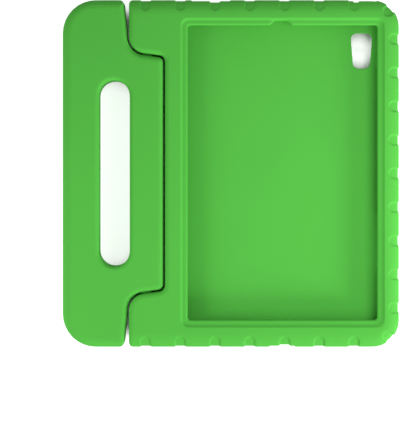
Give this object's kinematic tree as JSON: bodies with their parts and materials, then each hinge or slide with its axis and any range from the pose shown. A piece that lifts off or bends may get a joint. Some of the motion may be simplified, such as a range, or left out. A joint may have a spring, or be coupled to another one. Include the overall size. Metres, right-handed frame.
{
  "type": "kids tablet case",
  "caption": "Green foam case for a small tablet, with a chunky frame, grip grooves, camera and button cut-outs, and a slotted carry handle that swings back as a stand.",
  "frame": {"origin": "under the middle of the whole footprint, on the surface that the case lies on with its back down", "axes": "+Z out of the screen side, +Y towards the camera end of the tablet, +X to the right as the screen is seen, away from the handle"},
  "size_m": [0.209, 0.2154, 0.0216],
  "materials": {
    "foam": "matt moulded closed-cell foam"
  },
  "bodies": {
    "shell": {"case_shell": "foam"},
    "handle": {"carry_handle": "foam"}
  },
  "joints": [
    {"name": "handle_swing", "type": "hinge", "parent": "shell", "child": "handle", "pos_m": [-0.0528, 0, 0.01112], "axis": [0, -1, 0], "range_deg": [0, 110]}
  ]
}
